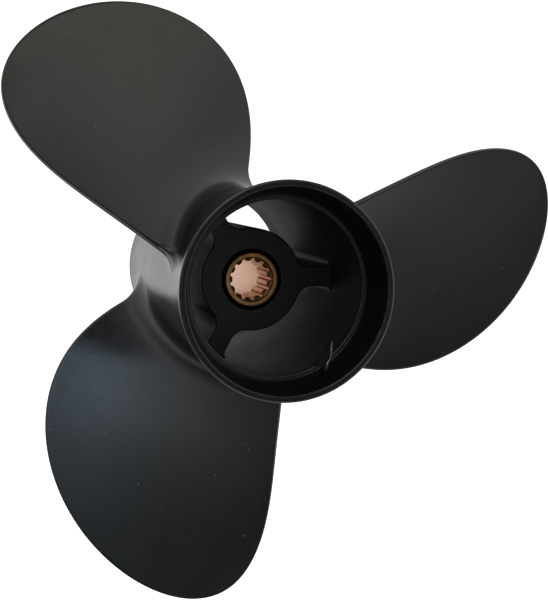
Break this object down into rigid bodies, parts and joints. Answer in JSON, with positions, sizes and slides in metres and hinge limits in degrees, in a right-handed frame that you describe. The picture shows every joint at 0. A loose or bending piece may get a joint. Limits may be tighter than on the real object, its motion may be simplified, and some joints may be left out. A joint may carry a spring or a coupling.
{
  "type": "boat propeller",
  "caption": "Three-bladed through-hub-exhaust outboard propeller with a flared barrel, ribbed inner hub, rubber bush and splined bronze drive sleeve.",
  "frame": {"origin": "on the shaft axis, in the forward face of the drive sleeve, where the shaft's pilot enters", "axes": "+Z along the shaft axis, aft, the way the exhaust leaves; +X through the reference line of blade_1"},
  "size_m": [0.2582, 0.267, 0.1447],
  "materials": {
    "casting_paint": "satin",
    "bush_rubber": "matte",
    "sleeve_bronze": "machined"
  },
  "bodies": {
    "casting": {"barrel": "casting_paint", "diffuser_ring": "casting_paint", "inner_hub": "casting_paint", "rib_1": "casting_paint", "rib_2": "casting_paint", "rib_3": "casting_paint", "blade_1": "casting_paint", "blade_2": "casting_paint", "blade_3": "casting_paint", "rubber_bush": "bush_rubber"},
    "sleeve": {"drive_sleeve": "sleeve_bronze"}
  },
  "joints": [
    {"name": "cushion_twist", "type": "hinge", "parent": "casting", "child": "sleeve", "pos_m": [0, 0, 0.0415], "axis": [0, 0, 1], "range_deg": [-12, 12], "stiffness_Nm_per_rad": 450}
  ]
}
